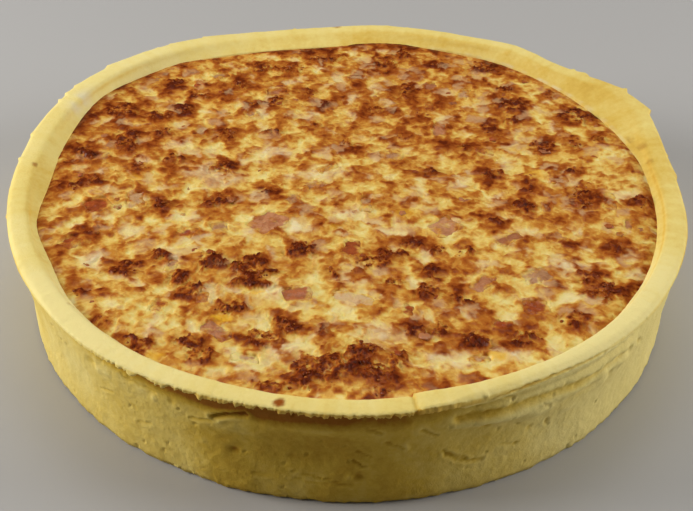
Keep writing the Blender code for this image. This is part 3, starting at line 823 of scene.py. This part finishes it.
# Painted light and shade on the rim: where it is painted deeper (above 0) or paler in tone, standing in for how the
# lamps fall on it: (direction, change, reach)
RIM_PAINTED_SHADING = ((16.0, 0.14, 24.0), (350.0, 0.14, 13.0), (224.0, -0.5, 14.0), (316.0, -0.45, 14.0), (140.0, -0.2, 20.0))
# Torn corners of the rim: (direction, how far each stands out, how slowly and which way it dies away)
TORN_CORNERS = ((38.9, 1.2, 3.0), (30.2, 0.9, 4.0), (22.5, 1.5, 3.0), (2.0, 0.7, 3.0), (121.5, 0.7, -1.5),
                (128.5, 0.5, -2.0), (142.8, 0.9, -3.0), (151.5, 0.6, -2.0), (154.7, 0.8, -2.0), (168.8, 0.7, -2.0))
# Small brown marks on the rim: (x, y, size, depth)
SPOTS = ((-20, -123, 1.9, 1.0), (-7, 121, 2.0, 0.7), (-118, 3, 1.2, 0.7), (-90, -78, 1.2, 0.3),
         (108, 32, 2.6, 0.42), (113, 25, 2.0, 0.36), (100, 44, 2.2, 0.25), (114, 14, 1.3, 0.35))


# ---------------------------------------------------------------- custard

CUSTARD_GRID = 305
# How far the custard sinks where it meets the crust
EDGE_DIP = 0.5


def disc_grid(count):
    """A square grid pushed into a round disc: rings of the square become circles of even spacing."""
    side = np.linspace(-1.0, 1.0, count)
    a, b = np.meshgrid(side, side, indexing="ij")
    wide = np.abs(a) > np.abs(b)
    safe_a = np.where(a == 0.0, 1e-9, a)
    safe_b = np.where(b == 0.0, 1e-9, b)
    reach = np.where(wide, a, b)
    turn = np.where(wide, np.pi / 4.0 * b / safe_a, np.pi / 2.0 - np.pi / 4.0 * a / safe_b)
    return reach * np.cos(turn), reach * np.sin(turn)


def patches(x, y, spots, softness):
    """The strongest of many soft-edged ovals: 1 in the middle of each, 0 outside."""
    strongest = np.zeros(x.shape)
    for spot in spots:
        spot_x, spot_y, length, width = spot[:4]
        depth = spot[4] if len(spot) > 4 else 1.0
        away = np.hypot((x - spot_x) / (0.5 * length), (y - spot_y) / (0.5 * width))
        strongest = np.maximum(strongest, depth * smooth_step(1.0 + softness, 1.0 - softness, away))
    return strongest


def custard_fields(x, y):
    """Browning, pale patches, mauve film and cragginess of the custard, from its place."""
    push_x = x + 2.4 * clouds(x, y, 5.5, 3, 31)
    push_y = y + 2.4 * clouds(x, y, 5.5, 3, 32)
    small = clouds(push_x, push_y, 3.4, 3, 35)
    cluster = smooth_step(0.20, 0.78, patches(push_x, push_y, CLUSTERS, 0.7) + 0.34 * small)
    near, second, number = cells(push_x, push_y, 2.1, 33)
    lump = (1.0 - near) * smooth_step(0.0, 0.35, second - near)
    angle = np.degrees(np.arctan2(y, x)) % 360.0
    away = np.hypot(x, y)
    to_edge = filling_radius(angle) - away
    soft = clouds(push_x, push_y, 8.0, 3, 34)
    toast = 0.31 + 0.38 * soft + 0.09 * small
    edge = smooth_step(8.0, 0.0, to_edge + 3.0 * clouds(x, y, 8.0, 2, 36))
    toast = toast + edge * (0.08 + 0.12 * hill(angle, 160.0, 40.0) + 0.24 * hill(angle, 95.0, 32.0))
    toast = toast + 0.12 * hill(angle, 165.0, 35.0) * smooth_step(60.0, 100.0, away)
    border = smooth_step(13.0, 3.0, to_edge)
    toast = toast + border * sum(change * hill(angle, at, reach) for at, change, reach in BROWNED_EDGES)
    for area_x, area_y, reach, change in BROWNED_AREAS:
        toast = toast + change * np.exp(-0.5 * (np.hypot(x - area_x, y - area_y) / reach) ** 2)
    fleck, _, pick = cells(x + 1.6 * small, y + 1.6 * soft, 4.6, 37)
    fleck = (pick > 0.6) * smooth_step(0.46, 0.05, fleck) * (0.1 + 0.5 * pick)
    toast = toast + 0.45 * fleck
    halo = patches(push_x, push_y, [(s[0], s[1], s[2] + 7.0, s[3] + 7.0, 0.26) for s in CLUSTERS], 0.6)
    toast = toast + halo
    dark = 0.42 + 0.46 * number + 0.24 * small + 0.14 * soft
    toast = toast + cluster * (dark - 0.62 * toast)
    burnt = patches(0.6 * x + 0.4 * push_x, 0.6 * y + 0.4 * push_y, BURNT_SPOTS, 0.45)
    toast = np.maximum(toast, 0.98 * burnt)
    pale = patches(push_x, push_y, PALE_PATCHES, 0.7) * (0.45 + 0.4 * smooth_step(-0.2, 0.5, small))
    wisps = smooth_step(0.2, 0.8, clouds(push_x + 40.0, push_y, 9.0, 4, 38))
    pale = np.maximum(pale, 0.45 * wisps) * (1.0 - smooth_step(0.35, 0.65, toast))
    pale = pale * (1.0 - 0.8 * edge * hill(angle, 115.0, 45.0))
    film_near, film_second, film_pick = cells(push_x, push_y, 7.0, 39)
    film = (film_pick > 0.84) * smooth_step(0.62, 0.15, film_near + 0.3 * small) * (1.0 - cluster)
    film = film * (1.0 - edge) * (0.25 + 0.4 * film_pick) * smooth_step(0.0, 0.25, film_second - film_near)
    yolk = patches(push_x, push_y, YOLK_SPOTS, 0.6) * (1.0 - cluster)
    values = {"toast": toast, "pale": pale, "film": film, "yolk": yolk, "crag": 0.2 + 0.5 * cluster}
    return values, cluster, lump * (0.4 + number), small, soft, to_edge


def custard_height(x, y):
    """The custard's fine top: swell, raised rough clusters, a lumpy skin and a dip under each ham piece."""
    values, cluster, lump, small, soft, to_edge = custard_fields(x, y)
    lumpy = 0.35 * small + 0.4 * soft + cluster * (0.35 + 0.95 * lump)
    height = swell_height(x, y) + lumpy * (0.15 + 0.85 * smooth_step(0.0, 4.0, to_edge))
    height = height - EDGE_DIP * smooth_step(2.5, -1.0, to_edge)
    for shape in ham_shapes:
        away = ham_distance(x, y, shape) + 0.5 * small
        inside = smooth_step(-0.5, -2.2, away)
        height = height * (1.0 - inside) + inside * (shape[1].translation.z - 1.4)
        ring = np.exp(-0.5 * ((away + 0.2) / 0.8) ** 2)
        height = height + 0.38 * ring
    return height, values


def make_custard(material):
    """The custard's top as a disc of even squares out to the crust, closed by a side and a flat bottom."""
    x, y = disc_grid(CUSTARD_GRID)
    angle = np.degrees(np.arctan2(y, x)) % 360.0
    reach = filling_radius(angle) + 1.0
    x, y = x * reach, y * reach
    height, values = custard_height(x, y)
    top = np.stack([x, y, height], axis=-1).reshape(-1, 3)
    count = CUSTARD_GRID
    row, column = np.meshgrid(np.arange(count - 1), np.arange(count - 1), indexing="ij")
    corner = row * count + column
    quads = np.stack([corner, corner + count, corner + count + 1, corner + 1], axis=-1).reshape(-1, 4)
    last = count - 1
    border = np.concatenate([np.arange(last), np.arange(last) * count + last,
                             last * count + np.arange(last, 0, -1), np.arange(last, 0, -1) * count])
    low = top[border].copy()
    low[:, :2] *= 0.985
    low[:, 2] = FILLING_HEIGHT - 6.0
    size = len(top)
    ring = np.arange(len(border))
    beside = (ring + 1) % len(border)
    side = np.stack([border[ring], border[beside], size + beside, size + ring], axis=-1)
    middle = size + len(border)
    bottom = np.stack([np.full(len(border), middle), size + ring, size + beside], axis=-1)
    points = np.concatenate([top, low, [(0.0, 0.0, FILLING_HEIGHT - 6.0)]])
    faces = np.concatenate([shorter_split(top, quads), split_quads(side), bottom])
    values = {key: np.concatenate([value.ravel(), np.full(len(border) + 1, 0.3)]) for key, value in values.items()}
    piece = make_piece("custard_top", points, faces, material, values)
    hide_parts("custard")
    return piece


# ---------------------------------------------------------------- ham

def ham_outline(length, width, rng):
    """An uneven four-sided piece with its corners cut off, as eight points round the middle."""
    corners = []
    for side_x, side_y in ((1, 1), (-1, 1), (-1, -1), (1, -1)):
        x = 0.5 * length * side_x * rng.uniform(0.82, 1.0)
        y = 0.5 * width * side_y * rng.uniform(0.82, 1.0)
        corners.append((x, y))
    points = []
    for i, (x, y) in enumerate(corners):
        for other in (corners[i - 1], corners[(i + 1) % 4]):
            points.append((x + HAM_CORNER * (other[0] - x), y + HAM_CORNER * (other[1] - y)))
    return points


def outline_reach(outline, turn):
    """How far an outline reaches from its middle in each direction: the nearest side that a ray meets."""
    reach = np.full(turn.shape, 1e9)
    for (ax, ay), (bx, by) in zip(outline, outline[1:] + outline[:1]):
        cross = ax * by - ay * bx
        facing = np.cos(turn) * (by - ay) - np.sin(turn) * (bx - ax)
        here = np.where(facing > 1e-6, cross / np.where(facing > 1e-6, facing, 1.0), 1e9)
        reach = np.where((here > 0.0) & (here < reach), here, reach)
    return reach


def level_round(x, y, reach_x, reach_y, turn):
    """The mean height of the custard's skin on an oval round a place."""
    step = np.arange(12) * np.pi / 6.0
    along, across = reach_x * np.cos(step), reach_y * np.sin(step)
    c, s = math.cos(math.radians(turn)), math.sin(math.radians(turn))
    around_x, around_y = x + along * c - across * s, y + along * s + across * c
    _, _, _, small, soft, _ = custard_fields(around_x, around_y)
    return float(np.mean(swell_height(around_x, around_y) + 0.35 * small + 0.4 * soft))


def make_ham_shapes():
    """Each piece's outline and place, as the frame has them, but sunk to the custard's own level."""
    shapes = []
    for index, (x, y, length, width, turn, look) in enumerate(HAM_PIECES):
        rng = random.Random(100 + index)
        outline = ham_outline(length, width, rng)
        tilt_x = math.radians(rng.uniform(-HAM_TILT, HAM_TILT))
        tilt_y = math.radians(rng.uniform(-HAM_TILT, HAM_TILT))
        place = Euler((tilt_x, tilt_y, math.radians(turn))).to_matrix().to_4x4()
        place.translation = Vector((x, y, level_round(x, y, 0.4 * length, 0.4 * width, turn) + HAM_SHOWS))
        shapes.append((outline, place))
    return shapes


def ham_distance(x, y, shape):
    """Roughly how far a point of the top lies outside a ham piece's outline, in millimetres."""
    outline, place = shape
    turn = math.atan2(place[1][0], place[0][0])
    dx, dy = x - place.translation.x, y - place.translation.y
    own_x = dx * math.cos(turn) + dy * math.sin(turn)
    own_y = dy * math.cos(turn) - dx * math.sin(turn)
    away = np.hypot(own_x, own_y)
    far = away > 14.0
    reach = np.where(far, 0.0, outline_reach(outline, np.arctan2(own_y, own_x)))
    return away - np.where(far, 0.0, reach)


HAM_AROUND = 64
# How far browned custard covers single pieces, and how much paler (above 0) or darker they are
HAM_HIDDEN = {0: -0.25, 5: -0.15, 7: -0.1, 8: -0.15, 9: -0.3, 16: -0.25, 19: -0.1, 20: -0.1, 21: -0.1}
HAM_PALLOR = {0: 0.0, 9: 0.75, 16: 0.1, 19: -0.5, 20: -0.2}
# A ham piece's section: (share of its reach, depth below its top), from the middle of its top
HAM_SECTION = ((0.10, 0.0), (0.20, 0.0), (0.30, 0.0), (0.40, 0.0), (0.50, 0.0), (0.60, 0.0), (0.69, 0.01),
               (0.77, 0.03), (0.84, 0.07), (0.90, 0.14), (0.95, 0.28), (0.985, 0.5), (1.0, 0.9), (1.0, 1.6),
               (0.97, 2.6), (0.88, 3.2), (0.5, 3.4))


def make_ham(index, shape, material):
    """A ham piece: its section carried round its outline, with a wavy, pitted top."""
    outline, place = shape
    turn = np.arange(HAM_AROUND) * 2.0 * np.pi / HAM_AROUND
    reach = outline_reach(outline, turn)
    reach = 0.6 * reach + 0.2 * (np.roll(reach, 1) + np.roll(reach, -1))
    reach = reach * (1.0 + 0.03 * np.sin(5.0 * turn + index) + 0.03 * np.sin(9.0 * turn + 2.0 * index))
    share = np.array([s for s, _ in HAM_SECTION])[::-1, None]
    depth = np.array([d for _, d in HAM_SECTION])[::-1, None]
    x = share * reach * np.cos(turn)
    y = share * reach * np.sin(turn)
    wave = clouds(x + 50.0, y + 50.0, 4.0, 3, 400 + index)
    on_top = smooth_step(1.2, 0.2, depth)
    z = -depth + on_top * 0.4 * wave + 0.0 * x
    hidden = HAM_HIDDEN.get(index, random.Random(500 + index).uniform(0.0, 0.30))
    edge = smooth_step(0.28, 0.82, share + 0.45 * wave + hidden) - 0.1 + 0.0 * x
    poles = [(0.0, 0.0, -HAM_THICKNESS), (0.0, 0.0, 0.4 * float(wave[-1].mean()))]
    points = np.concatenate([np.stack([x, y, z], axis=-1).reshape(-1, 3), poles])
    points = points @ np.array(place.to_3x3()).T + np.array(place.translation)
    toast = custard_fields(points[:, 0], points[:, 1])[0]["toast"]
    pallor = HAM_PALLOR.get(index, random.Random(600 + index).uniform(-0.35, 0.35))
    values = {"edge": np.concatenate([edge.ravel(), [1.0, -0.1]]), "toast": toast, "pallor": 0.0 * toast + pallor}
    piece = make_piece(f"ham_slice_{index + 1:02d}", points, turned_faces(len(share), HAM_AROUND), material, values)
    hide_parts(f"ham_{index + 1:02d}")
    return piece


# ---------------------------------------------------------------- crumbs

def nugget(around=7):
    """A coarse round ball: three rings of points and two poles, as points and triangles."""
    up = np.radians([-45.0, 0.0, 45.0])[:, None]
    turn = np.arange(around) * 2.0 * np.pi / around
    ring = np.stack([np.cos(up) * np.cos(turn), np.cos(up) * np.sin(turn), np.sin(up) + 0.0 * turn], axis=-1)
    points = np.concatenate([ring.reshape(-1, 3), [(0.0, 0.0, -1.0), (0.0, 0.0, 1.0)]])
    return points, turned_faces(3, around)


def scatter(name, places, sizes, flat, material, values, seed, around=7):
    """Many small uneven lumps: one ball, stretched, dented by waves and turned afresh for each place."""
    rng = np.random.default_rng(seed)
    points, faces = nugget(around)
    count = len(places)
    spin = rng.uniform(0.0, 2.0 * np.pi, count)
    stretch = rng.uniform(0.6, 1.5, (count, 1, 3)) * np.array([1.0, 1.0, flat])
    dent = 1.0 + 0.14 * np.sin(points[None] @ rng.normal(0.0, 2.4, (count, 3, 1)))
    dent = dent + 0.08 * np.sin(points[None] @ rng.normal(0.0, 4.0, (count, 3, 1)))
    lumps = points[None] * dent * stretch * np.asarray(sizes)[:, None, None]
    c, s = np.cos(spin)[:, None], np.sin(spin)[:, None]
    x = lumps[..., 0] * c - lumps[..., 1] * s
    y = lumps[..., 0] * s + lumps[..., 1] * c
    lumps = np.stack([x, y, lumps[..., 2]], axis=-1) + np.asarray(places)[:, None, :]
    all_faces = faces[None] + (np.arange(count) * len(points))[:, None, None]
    values = {key: np.repeat(value, len(points)) for key, value in values.items()}
    piece = make_piece(name, lumps.reshape(-1, 3), all_faces.reshape(-1, 3), material, values)
    return piece


def make_nuggets(material):
    """Browned nuggets heaped on every dark cluster, more on the darker ones."""
    rng = np.random.default_rng(71)
    xs, ys, sizes, tones = [], [], [], []
    for x, y, length, width, depth in CLUSTERS:
        count = int(0.11 * length * width * depth + 1)
        away = np.sqrt(rng.uniform(0.0, 1.0, count)) * 0.5
        turn = rng.uniform(0.0, 2.0 * np.pi, count)
        xs.append(x + away * length * np.cos(turn))
        ys.append(y + away * width * np.sin(turn))
        sizes.append(rng.uniform(0.3, 0.7, count))
        tones.append(0.60 + 0.32 * depth * rng.uniform(0.0, 1.0, count))
    xs, ys, sizes, tones = map(np.concatenate, (xs, ys, sizes, tones))
    height, _ = custard_height(xs, ys)
    angle = np.degrees(np.arctan2(ys, xs)) % 360.0
    keep = np.hypot(xs, ys) < filling_radius(angle) - 1.2
    places = np.stack([xs, ys, height - 0.10 * sizes], axis=-1)[keep]
    return scatter("browned_nuggets", places, sizes[keep], 0.55, material, {"toast": tones[keep]}, 72)


def filling_places(count, margin, seed):
    """Random places on the filling, evenly spread, at least margin from the crust."""
    rng = np.random.default_rng(seed)
    turn = rng.uniform(0.0, 360.0, count)
    away = np.sqrt(rng.uniform(0.0, 1.0, count)) * (filling_radius(turn) - margin)
    return away * np.cos(np.radians(turn)), away * np.sin(np.radians(turn))


def make_ham_bits(name, count, seed, pallor, material):
    """Small trimmings of ham, pressed flat into the custard and partly browned with it."""
    rng = np.random.default_rng(seed)
    x, y = filling_places(count, 4.0, seed + 1)
    height, values = custard_height(x, y)
    sizes = rng.uniform(0.9, 1.9, count)
    values = {"toast": values["toast"], "edge": rng.uniform(-0.3, 0.5, count),
              "pallor": pallor + rng.uniform(-0.3, 0.3, count)}
    places = np.stack([x, y, height - 0.14 * sizes], axis=-1)
    return scatter(name, places, sizes, 0.22, material, values, seed + 2, 5)


# ---------------------------------------------------------------- stage

def make_floor():
    mat, tree, shader = new_material("studio_floor")
    shader.inputs["Base Color"].default_value = (0.44, 0.43, 0.42, 1.0)
    shader.inputs["Roughness"].default_value = 0.8
    mesh = bpy.data.meshes.new("floor")
    side = 6.0
    mesh.from_pydata([(-side, -side, 0), (side, -side, 0), (side, side, 0), (-side, side, 0)], [], [(0, 1, 2, 3)])
    mesh.materials.append(mat)
    floor = bpy.data.objects.new("floor", mesh)
    bpy.context.scene.collection.objects.link(floor)


def add_area(name, place, target, size, power, colour):
    light = bpy.data.lights.new(name, "AREA")
    light.energy = power
    light.size = size
    light.color = colour
    lamp = bpy.data.objects.new(name, light)
    lamp.location = place
    lamp.rotation_euler = (Vector(target) - Vector(place)).to_track_quat("-Z", "Y").to_euler()
    bpy.context.scene.collection.objects.link(lamp)


def make_studio():
    make_floor()
    world = bpy.data.worlds.new("studio")
    bpy.context.scene.world = world
    world.use_nodes = True
    world.node_tree.nodes["Background"].inputs["Color"].default_value = (1.0, 0.98, 0.95, 1.0)
    world.node_tree.nodes["Background"].inputs["Strength"].default_value = 0.06
    add_area("window_left", (-1.13, 0.02, 0.50), (0, 0, 0.03), 0.6, 14.8, (1.0, 0.985, 0.95))
    add_area("window_right", (1.13, 0.04, 0.50), (0, 0, 0.03), 0.6, 9.9, (1.0, 0.985, 0.95))
    add_area("overhead", (0.0, 0.28, 1.15), (0, 0, 0.03), 0.8, 4.5, (1.0, 1.0, 1.0))


CAMERA_TARGET = Vector((-0.00074, 0.0, 0.00895))
CAMERA_DISTANCE = 0.5063
CAMERA_ELEVATION = 37.06
CAMERA_ROLL = 0.019
CAMERA_LENS = 67.5


def make_camera():
    """A camera that looks along +Y and down on the quiche."""
    data = bpy.data.cameras.new("camera")
    data.sensor_width = 36.0
    data.lens = CAMERA_LENS
    camera = bpy.data.objects.new("camera", data)
    down = math.radians(CAMERA_ELEVATION)
    back = Vector((0.0, -math.cos(down), math.sin(down)))
    level = Euler((math.pi / 2.0 - down, 0.0, 0.0)).to_matrix()
    camera.rotation_euler = (level @ Matrix.Rotation(CAMERA_ROLL, 3, "Z")).to_euler()
    camera.location = CAMERA_TARGET + back * CAMERA_DISTANCE
    bpy.context.scene.collection.objects.link(camera)
    bpy.context.scene.camera = camera


make_camera()
make_studio()
bpy.context.scene.view_settings.view_transform = "Standard"

ham_shapes = make_ham_shapes()
ham_materials = {
    "pink": ham_material("ham_pink", tone(202, 141, 98), tone(164, 92, 54)),
    "mauve": ham_material("ham_mauve", tone(200, 152, 108), tone(158, 106, 68)),
    "browned": ham_material("ham_browned", tone(178, 84, 36), tone(120, 44, 14)),
}
make_crust(crust_material())
make_custard(custard_material())
for index, spec in enumerate(HAM_PIECES):
    make_ham(index, ham_shapes[index], ham_materials[spec[5]])
make_nuggets(crumb_material())
make_ham_bits("ham_trimmings", 70, 85, 0.0, ham_materials["browned"])
